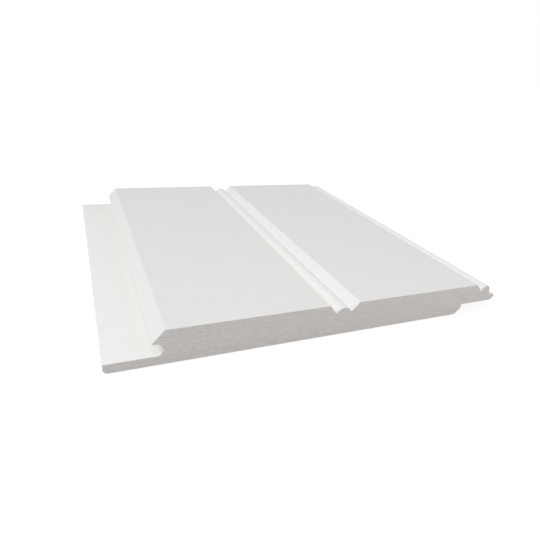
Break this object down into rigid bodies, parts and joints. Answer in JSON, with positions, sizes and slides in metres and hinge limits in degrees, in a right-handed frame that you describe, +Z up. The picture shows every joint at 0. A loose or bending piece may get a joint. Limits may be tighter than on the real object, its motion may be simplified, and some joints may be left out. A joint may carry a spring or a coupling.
{
  "type": "tongue and groove board",
  "caption": "White beaded wall board with a nailing flange and groove along one edge and a beaded tongue along the other, so that boards interlock as panelling.",
  "frame": {"origin": "middle of the board's box, on the plane of its flat back", "axes": "+X across the board from the nailing flange to the tongue, +Y along its length from one sawn end to the other, +Z up from the back to the beaded face"},
  "size_m": [0.157, 0.1524, 0.0127],
  "materials": {
    "cellular_pvc": "satin, with matt milled edges and sawn ends"
  },
  "bodies": {
    "root": {"beaded_board": "cellular_pvc"}
  },
  "joints": []
}
